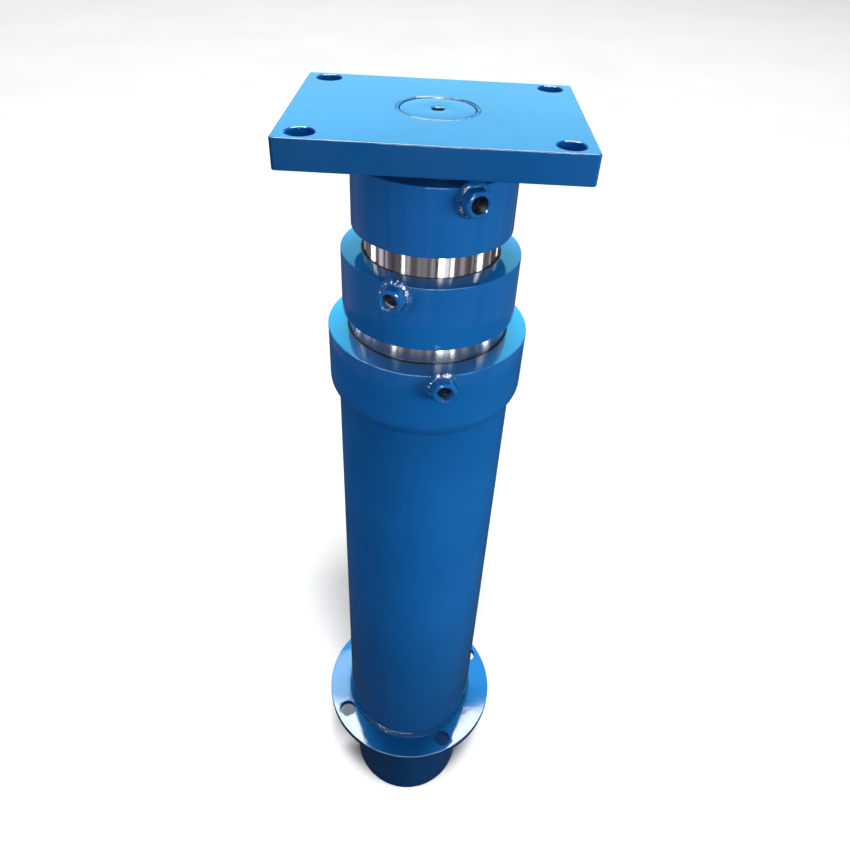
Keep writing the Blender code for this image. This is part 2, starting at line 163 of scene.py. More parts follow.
def linked(name, pieces, state="INCLUDE"):
    """Collection that tells a lamp which pieces it lights, or with EXCLUDE which it leaves out."""
    made = bpy.data.collections.new(name)
    for piece in pieces:
        made.objects.link(piece)
    for row in made.collection_objects:
        row.light_linking.link_state = state
    return made


def add_strips(receivers):
    """Narrow windows that only the polished pieces reflect, as round chrome shows a whole workshop."""
    middle = STRIP_LOW + 0.5 * STRIP_TALL
    for i, (degrees, width, radiance, colour) in enumerate(STRIPS):
        strip = add_panel("strip_%d" % i, around(degrees, STRIP_DISTANCE, middle), (0.0, 0.0, middle),
                          width, STRIP_TALL, radiance, colour)
        strip.visible_diffuse = False
        strip.light_linking.receiver_collection = receivers


def add_dark_room():
    """Dark walls that only mirrored rays see, and a dark floor that the object sees, not the pale one."""
    walls = Nodes("dark_walls")
    smear = walls.noise(1.0, 4.0, (2.2, 2.2, 0.05))
    walls.set(Base_Color=(0.0, 0.0, 0.0, 1.0), Specular_IOR_Level=0.0, Emission_Strength=1.0,
              Emission_Color=walls.blend(walls.spread(smear, 0.35, 0.65, 0.0, 1.0), *WALL_TONES))
    turns = range(-WALL_HALF_TURN, WALL_HALF_TURN + 1, WALL_STEP)
    count = len(turns)
    points = [around(a, WALL_R, z) for z in (0.0, WALL_TOP) for a in turns]
    faces = [(i, i + 1, count + i + 1, count + i) for i in range(count - 1)]
    ground = Nodes("dark_ground")
    shade = ground.spread(ground.noise(3.0, 4.0), 0.3, 0.7, 0.0, 1.0)
    ground.set(Base_Color=ground.blend(shade, *DARK_GROUND_TONES), Roughness=0.9)
    corners = [(x * DARK_GROUND_HALF, y * DARK_GROUND_HALF, DARK_GROUND_HEIGHT)
               for x, y in ((-1, -1), (1, -1), (1, 1), (-1, 1))]
    for name, shape, look, hidden_from in (
            ("dark_walls", (points, faces), walls, ("camera", "diffuse", "transmission", "shadow")),
            ("dark_ground", (corners, [(0, 1, 2, 3)]), ground, ("camera", "shadow"))):
        mesh = bpy.data.meshes.new(name)
        mesh.from_pydata(shape[0], [], shape[1])
        mesh.materials.append(look.material)
        made = bpy.data.objects.new(name, mesh)
        bpy.context.scene.collection.objects.link(made)
        for ray in hidden_from:
            setattr(made, "visible_" + ray, False)


HEADS = (0.0, 0.0, 0.98)
MIDDLE = (0.0, 0.0, 0.6)
GROUND = (0.0, 0.0, 0.0)
WHITE = (1.0, 1.0, 1.0)
SKY = (1.0, 1.0, 0.80)
DUSK = (0.85, 0.88, 1.0)
AZURE = (0.05, 0.80, 1.0)
CREAM = (1.0, 1.0, 0.90)
LIME = (0.90, 1.0, 0.80)
MINT = (0.70, 1.0, 0.80)
ICE = (0.80, 1.0, 1.0)
FROST = (0.85, 1.0, 1.0)
LAMPS = (   # name, place, aim, width, height, radiance, colour, rays it shows in, pieces it lights
    ("skylight", (0.0, 3.8, 4.52), HEADS, 7.2, 2.4, 22.0, SKY, "soft", "product"),
    ("top_window", (0.0, 2.4, 1.75), HEADS, 4.4, 0.9, 0.75, AZURE, "gloss", "top"),
    ("stage_1_window", (0.0, 2.4, 2.15), HEADS, 4.4, 1.3, 1.5, AZURE, "gloss", "stage_1_collar"),
    ("barrel_window", (0.0, 2.4, 2.3), HEADS, 4.4, 1.2, 3.6, AZURE, "gloss", "barrel_collar"),
    ("right_fill", (1.12, -0.86, 1.12), HEADS, 0.6, 0.6, 15.5, WHITE, "soft", "upper"),
    ("left_fill", (-1.35, -1.1, 1.2), HEADS, 0.7, 0.7, 7.5, DUSK, "soft", "below_plate"),
    ("right_tube_fill", (0.52, -0.42, 0.61), MIDDLE, 0.3, 0.3, 12.4, WHITE, "soft", "tube"),
    ("left_tube_fill", (-0.60, -0.50, 0.60), MIDDLE, 0.3, 0.3, 6.4, DUSK, "soft", "tube"),
    ("low_fill", (1.12, -0.86, 1.12), GROUND, 0.6, 0.6, 6.0, DUSK, "soft", "lower"),
    ("back_fill", (-1.2, 2.2, 1.4), MIDDLE, 1.2, 1.2, 1.6, WHITE, "soft", "product"),
    ("roof_lamps", (-0.25, 1.17, 3.3), (-0.25, 1.17, 0.0), 2.5, 0.8, 21.0, CREAM, "gloss", "product"),
    ("left_roof", (-0.95, 1.95, 3.3), (-0.95, 1.95, 0.0), 1.0, 0.7, 6.0, LIME, "gloss", "product"),
    ("far_windows", (0.0, 2.4, 2.1), (0.0, 0.0, 1.2), 4.4, 1.7, 0.42, MINT, "gloss", "product"),
    ("over_lamp", (0.0, -0.35, 3.2), HEADS, 3.0, 1.1, 22.0, ICE, "gloss", "edged"),
    ("low_lamp", (0.25, -2.6, 1.95), HEADS, 1.3, 0.35, 40.0, FROST, "gloss", "high_edged"),
    ("left_glint", (-0.65, -1.35, 2.9), MIDDLE, 0.6, 0.4, 160.0, WHITE, "gloss", "lumpy"),
    ("right_glint", (0.75, -1.15, 2.9), MIDDLE, 0.6, 0.4, 160.0, WHITE, "gloss", "lumpy"),
    ("middle_glint", (0.05, -0.9, 3.1), MIDDLE, 0.6, 0.3, 150.0, WHITE, "gloss", "lumpy"),
    ("low_glint", (-0.35, -2.3, 1.75), MIDDLE, 0.8, 0.4, 220.0, WHITE, "gloss", "lumpy"),
    ("floor_wash", (0.4, -3.6, 12.0), GROUND, 2.0, 2.0, 400.0, WHITE, "soft", "floor"),
    ("far_wash", (0.0, 9.0, 6.0), (0.0, 9.0, 0.0), 18.0, 12.0, 2.4, WHITE, "soft", "floor"),
)
WORLD_COLOUR = (0.84, 0.96, 1.0, 1.0)
WORLD_STRENGTH = 0.26


def add_lights(groups):
    """Skylight from behind, soft fills in front, the lamps that the gloss reflects, and the floor's own."""
    for name, place, aim, width, height, radiance, colour, rays, lit in LAMPS:
        lamp = add_panel(name, place, aim, width, height, radiance, colour)
        lamp.visible_glossy = rays == "gloss"
        lamp.visible_diffuse = rays == "soft"
        lamp.light_linking.receiver_collection = groups[lit]
    add_strips(groups["polished"])
    add_dark_room()
    world = bpy.data.worlds.new("studio")
    world.use_nodes = True
    sky = world.node_tree.nodes["Background"]
    sky.inputs["Color"].default_value = WORLD_COLOUR
    sky.inputs["Strength"].default_value = WORLD_STRENGTH
    bpy.context.scene.world = world
    bpy.context.scene.view_settings.view_transform = "Standard"


# ---- node helpers and materials ------------------------------------------------------------------

class Nodes:
    """Short way to build one material's node tree."""

    def __init__(self, name):
        self.material = bpy.data.materials.new(name)
        self.material.use_nodes = True
        self.tree = self.material.node_tree
        self.shader = self.tree.nodes["Principled BSDF"]

    def add(self, kind, settings=None, **links):
        made = self.tree.nodes.new("ShaderNode" + kind)
        for key, value in (settings or {}).items():
            setattr(made, key, value)
        for key, value in links.items():
            self.put(made.inputs[key.replace("_", " ")], value)
        return made

    def put(self, socket, value):
        if isinstance(value, bpy.types.NodeSocket):
            self.tree.links.new(value, socket)
        else:
            socket.default_value = value

    def set(self, **values):
        for key, value in values.items():
            self.put(self.shader.inputs[key.replace("_", " ")], value)

    def place(self, scale=(1.0, 1.0, 1.0)):
        """The object's own coordinates in metres, stretched by scale."""
        coordinates = self.add("TexCoord").outputs["Object"]
        return self.add("Mapping", Vector=coordinates, Scale=scale).outputs["Vector"]

    def noise(self, scale, detail=3.0, stretch=(1.0, 1.0, 1.0), roughness=0.5, distortion=0.0):
        made = self.add("TexNoise", Vector=self.place(stretch), Scale=scale, Detail=detail,
                        Roughness=roughness, Distortion=distortion)
        return made.outputs["Fac"]

    def spread(self, value, low, high, to_low, to_high):
        """Map a value's range low..high onto to_low..to_high, clamped."""
        made = self.add("MapRange", {"clamp": True}, Value=value)
        made.inputs["From Min"].default_value = low
        made.inputs["From Max"].default_value = high
        made.inputs["To Min"].default_value = to_low
        made.inputs["To Max"].default_value = to_high
        return made.outputs["Result"]

    def blend(self, amount, first, second):
        made = self.add("Mix", {"data_type": "RGBA"})
        self.put(made.inputs[0], amount)
        self.put(made.inputs[6], first)
        self.put(made.inputs[7], second)
        return made.outputs[2]

    def sum(self, first, second, operation="ADD"):
        made = self.add("Math", {"operation": operation})
        self.put(made.inputs[0], first)
        self.put(made.inputs[1], second)
        return made.outputs[0]

    def bump(self, height, strength, distance, under=None):
        made = self.add("Bump", Height=height, Strength=strength, Distance=distance)
        if under:
            self.put(made.inputs["Normal"], under)
        return made.outputs["Normal"]


def blue_enamel():
    """Sprayed gloss enamel: sags, orange peel, slow colour drift, dust nibs and faint rubbed patches."""
    n = Nodes("blue_enamel")
    drift = n.noise(7.0, 4.0)
    deep = (0.004, 0.105, 0.350, 1.0)
    light = (0.007, 0.135, 0.425, 1.0)
    colour = n.blend(n.spread(drift, 0.3, 0.7, 0.0, 1.0), deep, light)
    nibs = n.spread(n.noise(520.0, 1.0), 0.735, 0.80, 0.0, 1.0)
    colour = n.blend(n.sum(nibs, 0.3, "MULTIPLY"), colour, (0.04, 0.20, 0.46, 1.0))
    rubbed = n.spread(n.noise(26.0, 6.0, roughness=0.65), 0.52, 0.75, 0.0, 0.08)
    peel = n.noise(330.0, 2.0)
    sags = n.noise(34.0, 2.0, (1.0, 1.0, 0.35))
    normal = n.bump(sags, 0.08, 0.0030)
    normal = n.bump(peel, 0.06, 0.0008, normal)
    normal = n.bump(nibs, 0.25, 0.0004, normal)
    n.set(Base_Color=colour, Roughness=n.sum(rubbed, 0.06), Normal=normal, IOR=1.5, Specular_IOR_Level=0.5)
    return n.material


def weld_enamel():
    """The same enamel where it lies over weld metal: rougher, with pits and spatter."""
    n = Nodes("weld_enamel")
    lumps = n.noise(150.0, 5.0, roughness=0.6)
    deep = (0.003, 0.095, 0.30, 1.0)
    light = (0.006, 0.145, 0.41, 1.0)
    colour = n.blend(n.spread(lumps, 0.35, 0.7, 0.0, 1.0), deep, light)
    normal = n.bump(lumps, 0.7, 0.0022)
    normal = n.bump(n.noise(600.0, 2.0), 0.16, 0.0005, normal)
    n.set(Base_Color=colour, Roughness=n.spread(lumps, 0.3, 0.8, 0.05, 0.16), Normal=normal)
    return n.material


def ground_chrome(name, least, most):
    """Hard chrome over circumferential grinding marks, which draw reflections out along the axis.

    least and most are the limits of its roughness.
    """
    n = Nodes(name)
    rings = n.noise(1.0, 6.0, (14.0, 14.0, 5200.0), 0.7)
    bands = n.noise(1.0, 2.0, (3.0, 3.0, 240.0))
    haze = n.noise(16.0, 3.0, (1.0, 1.0, 0.25))
    dull = (0.56, 0.545, 0.565, 1.0)
    clear = (0.70, 0.695, 0.69, 1.0)
    streak = (0.48, 0.45, 0.47, 1.0)
    tone = n.blend(n.spread(haze, 0.35, 0.7, 0.0, 1.0), dull, clear)
    tone = n.blend(n.spread(bands, 0.55, 0.8, 0.0, 0.35), tone, streak)
    rough = n.sum(n.spread(rings, 0.3, 0.7, least, most), n.spread(haze, 0.4, 0.8, 0.0, 0.04))
    normal = n.bump(rings, 0.05, 0.0002)
    tangent = n.add("Tangent", {"direction_type": "RADIAL", "axis": "Z"}).outputs["Tangent"]
    n.set(Base_Color=tone, Metallic=1.0, Roughness=rough, Normal=normal, Tangent=tangent)
    n.set(Anisotropic=1.0, Anisotropic_Rotation=0.25)
    return n.material


def turned_steel():
    """Turned, slightly oily steel."""
    n = Nodes("turned_steel")
    rings = n.noise(1.0, 4.0, (30.0, 30.0, 2600.0), 0.6)
    stain = n.noise(60.0, 5.0, roughness=0.6)
    clean = (0.46, 0.45, 0.45, 1.0)
    stained = (0.25, 0.22, 0.19, 1.0)
    tone = n.blend(n.spread(stain, 0.4, 0.75, 0.0, 1.0), clean, stained)
    n.set(Base_Color=tone, Metallic=1.0, Roughness=n.spread(stain, 0.3, 0.8, 0.22, 0.45),
          Normal=n.bump(rings, 0.15, 0.0003))
    return n.material


def oiled_thread():
    """Cut threads kept near black, partly by dark preserving oil and partly as painted shade deep in the
    bores and holes, with a bloom of brown rust.
    """
    n = Nodes("oiled_thread")
    film = n.noise(240.0, 5.0, roughness=0.65)
    rust = n.spread(n.noise(420.0, 4.0), 0.60, 0.72, 0.0, 1.0)
    # Both thread tones are far darker than steel: oil film, and painted shade of the deep bores and holes
    # this finish lines.
    bare_but_shaded = (0.115, 0.13, 0.16, 1.0)
    oil_and_painted_shade = (0.026, 0.034, 0.048, 1.0)
    rusty = (0.045, 0.026, 0.020, 1.0)
    tone = n.blend(n.spread(film, 0.35, 0.7, 0.0, 1.0), bare_but_shaded, oil_and_painted_shade)
    tone = n.blend(rust, tone, rusty)
    n.set(Base_Color=tone, Metallic=n.spread(rust, 0.0, 1.0, 0.95, 0.35),
          Roughness=n.sum(n.spread(film, 0.3, 0.7, 0.22, 0.38), n.sum(rust, 0.25, "MULTIPLY")),
          Normal=n.bump(film, 0.25, 0.0003))
    return n.material


def bearing_bronze():
    """Turned bronze, tarnished in patches."""
    n = Nodes("bearing_bronze")
    rings = n.noise(1.0, 4.0, (20.0, 20.0, 2400.0), 0.6)
    tarnish = n.noise(45.0, 5.0)
    bright = (0.66, 0.46, 0.22, 1.0)
    tarnished = (0.42, 0.25, 0.11, 1.0)
    tone = n.blend(n.spread(tarnish, 0.4, 0.7, 0.0, 1.0), bright, tarnished)
    n.set(Base_Color=tone, Metallic=1.0, Roughness=n.spread(tarnish, 0.3, 0.7, 0.22, 0.42),
          Normal=n.bump(rings, 0.12, 0.0003))
    return n.material


def seal_rubber():
    """Black rubber with a faint grey bloom."""
    n = Nodes("seal_rubber")
    bloom = n.noise(90.0, 5.0, roughness=0.65)
    black = (0.004, 0.005, 0.005, 1.0)
    grey = (0.013, 0.013, 0.014, 1.0)
    tone = n.blend(n.spread(bloom, 0.45, 0.75, 0.0, 1.0), black, grey)
    n.set(Base_Color=tone, Roughness=n.spread(bloom, 0.3, 0.8, 0.35, 0.6),
          Normal=n.bump(n.noise(900.0, 2.0), 0.15, 0.0003))
    return n.material


def guide_resin():
    """Fabric-filled resin strip: fine cross weave in brown resin."""
    n = Nodes("guide_resin")
    weave = n.add("TexWave", {"bands_direction": "Z"}, Vector=n.place(), Scale=900.0, Distortion=1.5)
    weft = weave.outputs["Fac"]
    cloud = n.noise(120.0, 4.0)
    tone = n.blend(weft, (0.20, 0.13, 0.075, 1.0), (0.33, 0.23, 0.14, 1.0))
    tone = n.blend(n.spread(cloud, 0.45, 0.75, 0.0, 0.5), tone, (0.12, 0.08, 0.05, 1.0))
    n.set(Base_Color=tone, Roughness=n.spread(cloud, 0.3, 0.7, 0.5, 0.7), Normal=n.bump(weft, 0.2, 0.0002))
    return n.material


def floor_paint():
    """Plain pale floor, hardly glossy."""
    n = Nodes("floor_paint")
    cloud = n.noise(1.4, 4.0)
    tone = n.blend(n.spread(cloud, 0.3, 0.7, 0.0, 1.0), (0.30, 0.303, 0.306, 1.0), (0.32, 0.32, 0.32, 1.0))
    n.set(Base_Color=tone, Roughness=0.75, Specular_IOR_Level=0.15)
    return n.material


# ---- mesh helpers --------------------------------------------------------------------------------

def box_mm(node):
    """Low and high corner of a CAD node, in millimetres."""
    return [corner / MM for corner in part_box(node)]


def finish_mesh(name, points, faces, materials, body=None, replaced=(), sharp=SHARP_ANGLE,
                offset=None):
    """Make an object of points in millimetres; offset is a matrix in metres."""
    mesh = bpy.data.meshes.new(name)
    mesh.from_pydata([(x * MM, y * MM, z * MM) for x, y, z in points], [], faces)
    if offset is not None:
        mesh.transform(offset)
    mesh.validate()
    mesh.shade_smooth()
    mesh.set_sharp_from_angle(angle=radians(sharp))
    made = bpy.data.objects.new(name, mesh)
    bpy.context.scene.collection.objects.link(made)
    for material in materials:
        mesh.materials.append(material)
    if body:
        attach(made, body)
        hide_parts(*replaced)
    return made


def rounded(outline, steps=3):
    """Polyline of (r, z) or (r, z, fillet radius) points, with each fillet drawn as a curve."""
    made = []
    for i, point in enumerate(outline):
        fillet = point[2] if len(point) > 2 else 0.0
        here = Vector(point[:2])
        if not fillet:
            made.append(tuple(here))
            continue
        before = Vector(outline[i - 1][:2])
        after = Vector(outline[(i + 1) % len(outline)][:2])
        start = here + (before - here).normalized() * fillet
        end = here + (after - here).normalized() * fillet
        for s in range(steps + 1):
            t = s / steps
            made.append(tuple((1 - t) ** 2 * start + 2 * t * (1 - t) * here + t * t * end))
    return made


def loops_to_mesh(loops, closed):
    """Points and faces of neighbouring loops; a loop of one point is a pole."""
    points = [p for loop in loops for p in loop]
    starts = []
    count = 0
    for loop in loops:
        starts.append(count)
        count += len(loop)
    pairs = [(i, i + 1) for i in range(len(loops) - 1)]
    if closed:
        pairs.append((len(loops) - 1, 0))
    faces = []
    for a, b in pairs:
        na, nb = len(loops[a]), len(loops[b])
        for i in range(max(na, nb)):
            corners = [starts[a] + i % na, starts[a] + (i + 1) % na,
                       starts[b] + (i + 1) % nb, starts[b] + i % nb]
            faces.append(tuple(dict.fromkeys(corners)))
    return points, faces


def lathe(outline, sides=FINE, warp=None):
    """Revolve an outline about Z, outer side top to bottom. warp(angle, r, z) may move a point."""
    loops = []
    for r, z in outline:
        if r == 0.0:
            loops.append([(0.0, 0.0, z)])
            continue
        loop = []
        for i in range(sides):
            angle = -2.0 * pi * i / sides
            wr, wz = warp(angle, r, z) if warp else (r, z)
            loop.append((wr * cos(angle), wr * sin(angle), wz))
        loops.append(loop)
    return loops_to_mesh(loops, closed=outline[0][0] != 0.0)


def bake(made):
    """Apply an object's modifiers, then remove the cutters that they used."""
    cutters = [m.object for m in made.modifiers if m.type == "BOOLEAN"]
    graph = bpy.context.evaluated_depsgraph_get()
    mesh = bpy.data.meshes.new_from_object(made.evaluated_get(graph))
    made.modifiers.clear()
    made.data = mesh
    for cutter in cutters:
        bpy.data.objects.remove(cutter)
    made.data.shade_smooth()
    made.data.set_sharp_from_angle(angle=radians(SHARP_ANGLE))


def cut(made, outline, x=0.0, y=0.0, sides=SMALL, turn=None):
    """Cut a turned shape out of a piece; turn is a matrix in metres for cuts that aren't upright."""
    points, faces = lathe([(0.0, outline[0][1])] + outline + [(0.0, outline[-1][1])], sides)
    offset = turn if turn is not None else Matrix.Translation((x * MM, y * MM, 0.0))
    cutter = finish_mesh("cutter", points, faces, [], offset=offset)
    cutter.hide_render = True
    modifier = made.modifiers.new("cut", "BOOLEAN")
    modifier.operation = "DIFFERENCE"
    modifier.solver = "EXACT"
    modifier.object = cutter


def hole_outline(r, top, bottom, edge):
    """A through hole with both mouths eased."""
    return rounded([(r + edge + 3.0, top + 3.0), (r + edge, top), (r, top - edge, 0.4 * edge),
                    (r, bottom + edge, 0.4 * edge), (r + edge, bottom), (r + edge + 3.0, bottom - 3.0)])


def ripple(angle, count, seed):
    """Height, 0 to 1, of a hand-laid bead's overlapping ripples."""
    wander = 0.9 * noise.noise(Vector((cos(angle) * 2.2, sin(angle) * 2.2, seed)))
    phase = (angle * count / (2.0 * pi) + wander) % 1.0
    lump = 0.5 + 0.5 * noise.noise(Vector((cos(angle) * 6.0, sin(angle) * 6.0, seed + 7.0)))
    return (1.0 - phase) ** 0.7 * 0.7 + 0.5 * lump


# ---- top plate and plunger -----------------------------------------------------------------------

PLATE_LOW, PLATE_HIGH = box_mm("top_plate")
PLATE_TOP = PLATE_HIGH.z
PLATE_BOTTOM = PLATE_LOW.z
PLATE_EDGE = 1.4
PLATE_RIM = 4.0         # flat ring of faces inside the eased edges
PLATE_CORNER_R = 3.2
PLATE_HOLE_R = 11.75
PLATE_HOLE_EDGE = 0.9
PLATE_HOLE_X = 104.0
PLATE_HOLE_Y = 82.0
SPIGOT_R = 33.2
GROOVE_R = 37.0
GROOVE_DEPTH = 4.0
GROOVE_BEAD_FOOT = 2.9  # depth of the bead's foot in the groove
PLUNGER_R = 50.0
PLUNGER_BORE_R = 38.0
PLUNGER_HEAD = 45.0     # solid part above the bore
PAINTED_DOWN = 7.0      # how far the paint runs down the plunger under the plate
LIFT_HOLE_R = 5.5
LIFT_HOLE_DEPTH = 24.0


def rectangle_loop(inset, z, steps=6):
    """Rectangle with round corners, clockwise seen from above."""
    half_x = PLATE_HIGH.x - inset
    half_y = PLATE_HIGH.y - inset
    corner = max(PLATE_CORNER_R - inset, 0.4)
    loop = []
    for quarter in range(4):
        cx = (half_x - corner) * (1 if quarter in (0, 3) else -1)
        cy = (half_y - corner) * (1 if quarter in (0, 1) else -1)
        for i in range(steps + 1):
            angle = (quarter + i / steps) * pi / 2.0
            loop.append((cx + corner * cos(angle), cy + corner * sin(angle), z))
    return loop[::-1]


def make_plate(enamel):
    """Top plate with eased edges, four drilled holes, the spigot's hole and the weld groove round it."""
    section = rounded([(PLATE_RIM, PLATE_TOP), (0.0, PLATE_TOP, PLATE_EDGE), (0.0, PLATE_BOTTOM, PLATE_EDGE),
                       (PLATE_RIM, PLATE_BOTTOM)], 5)
    loops = [[(0.0, 0.0, PLATE_TOP)]]
    loops += [rectangle_loop(inset, z) for inset, z in section]
    loops.append([(0.0, 0.0, PLATE_BOTTOM)])
    points, faces = loops_to_mesh(loops, closed=False)
    plate = finish_mesh("top_plate_painted", points, faces, [enamel], "plunger", ["top_plate"])
    hole = hole_outline(PLATE_HOLE_R, PLATE_TOP, PLATE_BOTTOM, PLATE_HOLE_EDGE)
    for sx in (-1, 1):
        for sy in (-1, 1):
            cut(plate, hole, sx * PLATE_HOLE_X, sy * PLATE_HOLE_Y)
    bore_r = SPIGOT_R + FIT
    groove = rounded([(GROOVE_R + 2.0, PLATE_TOP + 2.0), (GROOVE_R, PLATE_TOP, 0.8),
                      (bore_r, PLATE_TOP - GROOVE_DEPTH), (bore_r, PLATE_BOTTOM - 3.0)])
    cut(plate, groove, sides=FINE)
    bake(plate)


def make_plunger(chrome, enamel, oil_and_shade_finish):
    """Chromed bar, bored from below, with a painted spigot and a lifting hole on top."""
    low, high = box_mm("plunger")
    shoulder = PLATE_BOTTOM - FIT
    bore_end = shoulder - PLUNGER_HEAD
    bar = rounded([(SPIGOT_R, shoulder), (PLUNGER_R, shoulder, 0.8), (PLUNGER_R, low.z, 1.0),
                   (PLUNGER_BORE_R, low.z, 1.0), (PLUNGER_BORE_R, bore_end, 2.0), (0.0, bore_end)])
    top = high.z
    mouth = [(0.0, top - LIFT_HOLE_DEPTH), (LIFT_HOLE_R, top - LIFT_HOLE_DEPTH + 3.0),
             (LIFT_HOLE_R, top - 1.2, 0.5), (LIFT_HOLE_R + 1.4, top - 0.15, 0.3)]
    crown = [(SPIGOT_R * 0.5, top), (SPIGOT_R - 0.9, top - 0.1, 0.7), (SPIGOT_R, top - 1.4, 0.5)]
    outline = rounded(mouth + crown) + bar
    points, faces = lathe(outline)
    plunger = finish_mesh("plunger_bar", points, faces, [chrome, enamel, oil_and_shade_finish], "plunger", ["plunger"])
    # Paint runs down under the plate; the lifting hole's inside takes the near-black thread finish, oil and
    # painted shade in the hole.
    for face in plunger.data.polygons:
        spot = face.center / MM
        if spot.z > shoulder - PAINTED_DOWN and sqrt(spot.x ** 2 + spot.y ** 2) > LIFT_HOLE_R:
            face.material_index = 1
        elif spot.z > PLATE_BOTTOM:
            face.material_index = 2


def make_plate_welds(weld):
    """Groove weld between spigot and plate, slightly proud and lumpy, and the fillet underneath."""
    inner = SPIGOT_R + FIT + 0.1
    foot = PLATE_TOP - GROOVE_BEAD_FOOT
    section = ((GROOVE_R + 1.5, -0.35), (GROOVE_R + 0.3, 0.25), (GROOVE_R - 1.2, 0.75), (inner + 1.2, 0.6),
               (inner + 0.2, -0.1), (inner, -0.8))

    def laid(angle, r, z):
        """Full where the weld was left proud, and shrunk into its groove where it was ground or ran thin."""
        if z < foot + 0.5:
            return r, z
        full = 0.5 + 1.1 * noise.noise(Vector((cos(angle) * 1.6 + 0.4, sin(angle) * 1.6, 4.2)))
        full = min(1.0, max(0.0, full))
        swell = ripple(angle, 40, 3.0)
        rise = (z - PLATE_TOP) * (0.35 + 0.65 * full) + (0.55 * swell - 0.3) - 0.55 * (1.0 - full)
        return r - 2.3 * (1.0 - full) * max(0.0, (r - inner) / (GROOVE_R - inner)), PLATE_TOP + rise

    crown = rounded([(r, PLATE_TOP + up) for r, up in section])
    points, faces = lathe([(inner + 0.6, foot)] + crown + [(inner, foot)], 360, laid)
    finish_mesh("plate_groove_bead", points, faces, [weld], "plunger", ["plate_groove_weld"],
                60.0)

    under = PLATE_BOTTOM - 2.0 * FIT

    def rippled(angle, r, z):
        swell = ripple(angle, 60, 9.0) * 0.8
        return (r - 0.8 + swell, z) if r > PLUNGER_R + 2.0 else (r, z)

    outline = [(PLUNGER_R + 6.2, under), (PLUNGER_R + 4.9, under - 2.4), (PLUNGER_R + 2.6, under - 4.6),
               (PLUNGER_R + 0.9, under - 6.0), (PLUNGER_R + 0.3, under - 6.0), (PLUNGER_R + 0.3, under)]
    points, faces = lathe(outline, 300, rippled)
    finish_mesh("plate_fillet_bead", points, faces, [weld], "plunger", ["plate_fillet_weld"],
                60.0)


# ---- port bosses ---------------------------------------------------------------------------------

HEX_ACROSS_FLATS = 23.0
BOSS_HEIGHT = 14.0
BOSS_FACE_R = 10.2
THREAD_R = 7.5
THREAD_CUT = 0.72
THREAD_PITCH = 1.337
THREAD_DEPTH = 10.5
THREAD_START = 0.75
THREAD_ROWS = 62
PASSAGE_R = 3.0
PORT_DEPTH = 11.0
BOSS_SIDES = 72
BOSS_BEAD_SIDES = 216


def hexagon_r(angle, soften=0.8):
    """Distance from a hexagon's centre to its side, flat side up, with the corners eased."""
    sector = angle - (pi / 3.0) * floor(angle / (pi / 3.0))
    return min(0.5 * HEX_ACROSS_FLATS / cos(sector - pi / 6.0), HEX_ACROSS_FLATS / sqrt(3.0) - soften)


def boss_loop(seat_r, radius_at, height_at, on_seat, sides=BOSS_SIDES):
    """Loop round a radial boss (along +X before it is turned); heights start at the seat."""
    loop = []
    for i in range(sides):
        angle = 2.0 * pi * i / sides
        r = radius_at(angle)
        across = r * cos(angle)
        seat = sqrt(seat_r ** 2 - across ** 2) if on_seat else seat_r
        loop.append((seat + height_at(angle), across, r * sin(angle)))
    return loop


def thread_r(depth, angle):
    """Radius of a right-hand internal thread, fading out at the mouth and at the runout."""
    phase = (depth / THREAD_PITCH + angle / (2.0 * pi)) % 1.0
    crest = abs(2.0 * phase - 1.0)
    fade = min(1.0, depth / 1.2, max(0.0, (THREAD_DEPTH - 1.0 - depth) / 1.5))
    return THREAD_R + THREAD_CUT * crest * fade


def port_place(degrees, height):
    """Turn and lift a boss from the X axis to its own direction and height."""
    return Matrix.Translation((0.0, 0.0, height * MM)) @ Matrix.Rotation(radians(degrees), 4, "Z")


def make_boss(member, head_r, degrees, height, enamel, thread, overspray):
    """Screwed boss; overspray is how deep the paint reaches into its thread."""
    seat = head_r + FIT
    top = BOSS_HEIGHT

    def shoulder(angle):
        return top - (hexagon_r(angle) - BOSS_FACE_R) * tan(radians(30.0))

    loops = [
        boss_loop(seat, hexagon_r, lambda a: 0.0, True),
        boss_loop(seat, hexagon_r, lambda a: shoulder(a) - 0.7, False),
        boss_loop(seat, lambda a: hexagon_r(a) - 0.14, lambda a: shoulder(a) - 0.3, False),
        boss_loop(seat, lambda a: hexagon_r(a) - 0.6, lambda a: shoulder(a) + 0.12, False),
        boss_loop(seat, lambda a: BOSS_FACE_R + 0.25, lambda a: top - 0.2, False),
        boss_loop(seat, lambda a: BOSS_FACE_R - 0.3, lambda a: top, False),
        boss_loop(seat, lambda a: THREAD_R + 1.15, lambda a: top, False),
        boss_loop(seat, lambda a: THREAD_R + 0.85, lambda a: top - 0.2, False),
    ]
    first_band = len(loops) - 1
    for row in range(THREAD_ROWS + 1):
        depth = THREAD_START + (THREAD_DEPTH - THREAD_START) * row / THREAD_ROWS
        loops.append(boss_loop(seat, lambda a, d=depth: thread_r(d, a), lambda a, d=depth: top - d, False))
    loops.append(boss_loop(seat, lambda a: PASSAGE_R, lambda a: top - THREAD_DEPTH - 0.6, False))
    loops.append(boss_loop(seat, lambda a: PASSAGE_R, lambda a: 0.0, True))
    points, faces = loops_to_mesh(loops, closed=True)
    boss = finish_mesh(member + "_port_boss", points, faces, [enamel, thread], member, [member + "_port"],
                       28.0, port_place(degrees, height))
    # Past the overspray the thread takes the near-black thread finish: oil and painted shade deep in the
    # bore.
    for row in range(THREAD_ROWS + 2):
        depth = THREAD_START + THREAD_DEPTH * row / THREAD_ROWS
        for i in range(BOSS_SIDES):
            turn = 2.0 * pi * i / BOSS_SIDES
            ragged = noise.noise(Vector((3.0 * cos(turn), 3.0 * sin(turn), 0.6 * depth + head_r)))
            if depth > overspray * (1.0 + 0.5 * ragged):
                boss.data.polygons[(first_band + row) * BOSS_SIDES + i].material_index = 1


